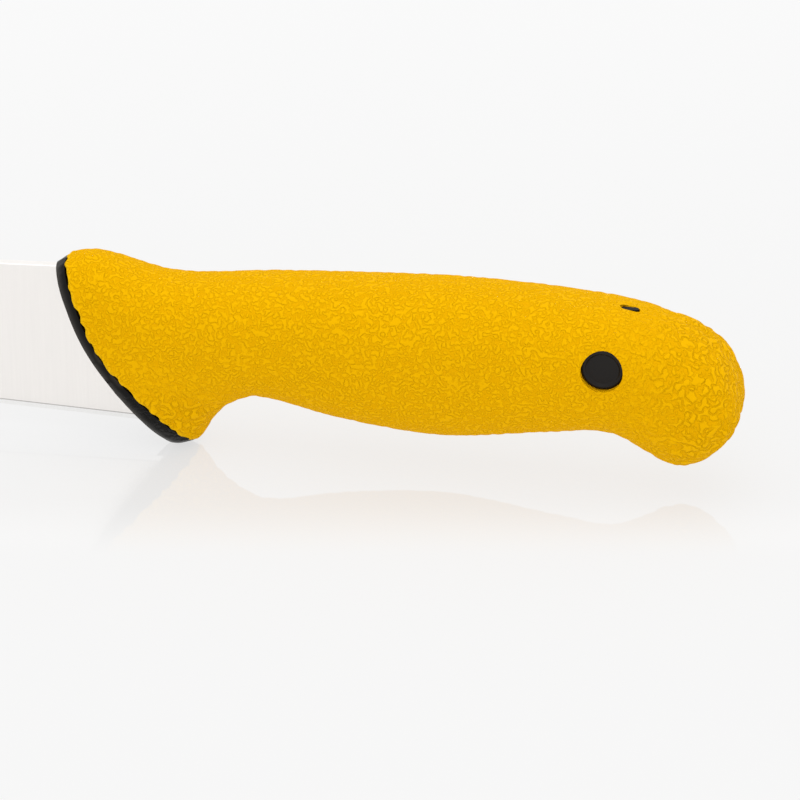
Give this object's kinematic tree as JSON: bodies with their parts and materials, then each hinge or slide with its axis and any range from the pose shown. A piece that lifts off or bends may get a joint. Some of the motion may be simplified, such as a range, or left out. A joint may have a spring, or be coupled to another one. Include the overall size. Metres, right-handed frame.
{
  "type": "butcher knife",
  "caption": "Fixed-blade butcher knife: tapered pointed blade, black collar, and a soft grained yellow grip with a finger guard and a butt lobe.",
  "frame": {"origin": "under the middle of the knife's box, at the height of the finger guard's tip", "axes": "+X from the blade's point to the butt, +Y to the knife's right side, +Z from the edge to the spine"},
  "size_m": [0.3532, 0.0262, 0.0426],
  "materials": {
    "blade_steel": "satin ground",
    "core_plastic": "satin",
    "grip_soft": "grained, matt",
    "button_plastic": "satin"
  },
  "bodies": {
    "root": {"blade": "blade_steel", "core": "core_plastic", "grip_cover": "grip_soft", "eye_plug_left": "button_plastic", "eye_plug_right": "button_plastic"}
  },
  "joints": []
}
